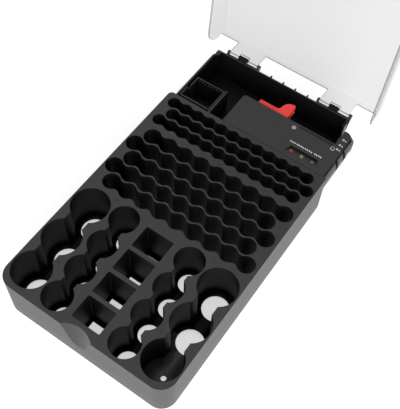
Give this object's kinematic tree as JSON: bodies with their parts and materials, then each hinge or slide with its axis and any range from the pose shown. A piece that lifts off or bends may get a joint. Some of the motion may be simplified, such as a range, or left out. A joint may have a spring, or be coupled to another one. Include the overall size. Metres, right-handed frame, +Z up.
{
  "type": "battery organiser with hinged cover and tester",
  "caption": "Open tray of battery wells with a clear hinged cover, a small coin-cell box and a lift-out caliper-style battery tester.",
  "frame": {"origin": "middle of the tray's width and near the middle of its length, on the plane that the tray stands on", "axes": "+Z up, +Y from the thumb scoop to the hinge, +X to the side that the tester hangs over"},
  "size_m": [0.175, 0.358, 0.355],
  "materials": {
    "black_plastic": "satin moulded",
    "clear_plastic": "clear glossy plastic",
    "screw_steel": "zinc plated",
    "board": "solder mask",
    "component": "moulded",
    "led_red": "clear tinted",
    "led_yellow": "clear tinted",
    "led_green": "clear tinted",
    "red_plastic": "satin moulded",
    "contact_metal": "nickel plated"
  },
  "bodies": {
    "tray": {"tray": "black_plastic"},
    "cover": {"cover": "clear_plastic"},
    "coin_box": {"coin_box": "black_plastic"},
    "tester": {"tester_top": "black_plastic", "tester_base": "black_plastic", "tester_screws": "screw_steel", "circuit_board": "board", "board_components": "component", "led_red": "led_red", "led_yellow": "led_yellow", "led_green": "led_green", "contact_rail": "contact_metal", "jaw_contact": "contact_metal", "side_contact": "contact_metal", "button_contact": "contact_metal", "eyelet_contact": "contact_metal", "nine_volt_contact_front": "contact_metal", "nine_volt_contact_rear": "contact_metal"},
    "slider": {"slider": "red_plastic", "slider_contact": "contact_metal", "slider_wiper": "contact_metal"}
  },
  "joints": [
    {"name": "cover_hinge", "type": "hinge", "parent": "tray", "child": "cover", "pos_m": [0, 0.15605, 0.0455], "axis": [1, 0, 0], "range_deg": [0, 95.5]},
    {"name": "tester_lift", "type": "slide", "parent": "tray", "child": "tester", "axis": [0, 0, 1], "range_m": [0, 0.018]},
    {"name": "coin_box_lift", "type": "slide", "parent": "tray", "child": "coin_box", "axis": [0, 0, 1], "range_m": [0, 0.018]},
    {"name": "slider_travel", "type": "slide", "parent": "tester", "child": "slider", "axis": [-1, 0, 0], "range_m": [-0.0055, 0.0135]}
  ]
}
